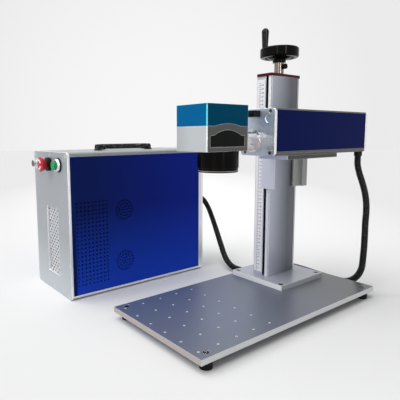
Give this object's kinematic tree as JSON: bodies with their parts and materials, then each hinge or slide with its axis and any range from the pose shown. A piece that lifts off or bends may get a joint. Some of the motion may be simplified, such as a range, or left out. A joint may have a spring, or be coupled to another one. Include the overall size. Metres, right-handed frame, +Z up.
{
  "type": "laser marking machine",
  "caption": "Desktop laser marking stand with a handwheel column, a raised arm with scan head and lens, and a ventilated laser cabinet joined by a ribbed hose.",
  "frame": {"origin": "the middle of the footprint of stand and cabinet, on the floor", "axes": "+X to the right seen from the front, +Y from the front to the rear, +Z up along the column"},
  "size_m": [0.677, 0.764, 0.7003],
  "materials": {
    "plate_grey": "satin grey anodised",
    "rubber": "moulded",
    "screw_steel": "turned",
    "column_silver": "satin anodised",
    "scale_face": "printed strip",
    "cap_red": "glossy dark red",
    "chrome": "polished",
    "wheel_black": "glossy moulded",
    "nut_brass": "turned",
    "arm_silver": "satin anodised",
    "panel_navy": "satin powder coat",
    "black_plastic": "moulded",
    "head_silver": "satin cast",
    "head_blue": "satin paint",
    "window_dark": "tinted pane",
    "black_anodised": "black anodised",
    "lens_coating": "coated lens",
    "scan_mirror": "coated mirror",
    "cabinet_silver": "satin coated",
    "mesh_steel": "expanded metal",
    "inner_case": "black case",
    "supply_case": "grey case",
    "estop_red": "glossy red",
    "start_green": "glossy green",
    "handle_black": "moulded",
    "hose_black": "ribbed plastic"
  },
  "bodies": {
    "root": {"rubber_feet": "rubber", "base_plate": "plate_grey", "stand_screws": "screw_steel", "column_base": "plate_grey", "column_profile": "column_silver", "column_cover": "column_silver", "column_scale": "scale_face", "column_cap": "cap_red", "guide_rods": "chrome", "screw_bearings": "screw_steel", "lock_boss": "screw_steel", "cabinet_frame": "cabinet_silver", "cabinet_front_plate": "cabinet_silver", "cabinet_rear_plate": "cabinet_silver", "cabinet_side_panels": "panel_navy", "cabinet_screws": "screw_steel", "vent_mesh": "mesh_steel", "laser_source": "inner_case", "power_supply": "supply_case", "fan_frames": "black_plastic", "power_inlet": "black_plastic", "hose_gland": "black_plastic", "key_switch_body": "chrome", "estop_base": "black_plastic", "start_bezel": "chrome", "handle_ears": "chrome", "hose": "hose_black"},
    "screw": {"lead_screw": "chrome", "handwheel": "wheel_black", "grip_pin": "screw_steel"},
    "grip": {"wheel_grip": "wheel_black"},
    "clamp": {"clamp_knob": "wheel_black"},
    "lift": {"carriage_block": "column_silver", "lead_nut": "nut_brass", "front_wing": "column_silver", "rear_wing": "column_silver", "support_plate": "column_silver", "arm_housing": "arm_silver", "arm_side_panels": "panel_navy", "arm_front_plate": "arm_silver", "arm_rear_plate": "arm_silver", "arm_screws": "screw_steel", "beam_flange": "arm_silver", "collimator": "black_anodised", "arm_gland": "black_plastic", "head_base": "head_silver", "head_cover": "head_blue", "head_windows": "window_dark", "galvo_motors": "black_anodised", "lens_barrel": "black_anodised", "lens_glass": "lens_coating", "head_cable": "black_plastic"},
    "x_mirror_body": {"x_mirror": "scan_mirror"},
    "y_mirror_body": {"y_mirror": "scan_mirror"},
    "fan_upper": {"fan_rotor_upper": "black_plastic"},
    "fan_lower": {"fan_rotor_lower": "black_plastic"},
    "key": {"key_switch_dial": "black_plastic"},
    "estop": {"estop_button": "estop_red"},
    "start": {"start_button": "start_green"},
    "handle": {"carry_handle": "handle_black"}
  },
  "joints": [
    {"name": "screw_spin", "type": "hinge", "parent": "root", "child": "screw", "pos_m": [0.1195, 0.155, 0.6], "axis": [0, 0, 1], "range_deg": [-8645, 16565]},
    {"name": "arm_lift", "type": "slide", "parent": "root", "child": "lift", "axis": [0, 0, 1], "range_m": [-0.23, 0.12], "deforming": ["hose"]},
    {"name": "grip_spin", "type": "hinge", "parent": "screw", "child": "grip", "pos_m": [0.09633, 0.12425, 0.675], "axis": [0, 0, 1], "continuous": true},
    {"name": "clamp_turn", "type": "hinge", "parent": "root", "child": "clamp", "pos_m": [0.1385, 0.155, 0.6], "axis": [1, 0, 0], "range_deg": [-360, 0]},
    {"name": "x_mirror_tilt", "type": "hinge", "parent": "lift", "child": "x_mirror_body", "pos_m": [0.2085, -0.139, 0.4078], "axis": [0, 0, 1], "range_deg": [-12, 12]},
    {"name": "y_mirror_tilt", "type": "hinge", "parent": "lift", "child": "y_mirror_body", "pos_m": [0.1925, -0.139, 0.4078], "axis": [0, 1, 0], "range_deg": [-12, 12]},
    {"name": "fan_upper_spin", "type": "hinge", "parent": "root", "child": "fan_upper", "pos_m": [-0.1315, -0.188, 0.222], "axis": [1, 0, 0], "continuous": true},
    {"name": "fan_lower_spin", "type": "hinge", "parent": "root", "child": "fan_lower", "pos_m": [-0.1315, -0.188, 0.08], "axis": [1, 0, 0], "continuous": true},
    {"name": "key_turn", "type": "hinge", "parent": "root", "child": "key", "pos_m": [-0.2915, -0.358, 0.348], "axis": [0, 1, 0], "range_deg": [0, 90]},
    {"name": "estop_press", "type": "slide", "parent": "root", "child": "estop", "axis": [0, 1, 0], "range_m": [0, 0.005]},
    {"name": "start_press", "type": "slide", "parent": "root", "child": "start", "axis": [0, 1, 0], "range_m": [0, 0.003], "stiffness_N_per_m": 300},
    {"name": "handle_fold", "type": "hinge", "parent": "root", "child": "handle", "pos_m": [-0.211, -0.129, 0.391], "axis": [0, 1, 0], "range_deg": [0, 90]}
  ],
  "couplings": [
    {"joint": "screw_spin", "follows": "arm_lift", "rad_per_m": -1256.6}
  ]
}
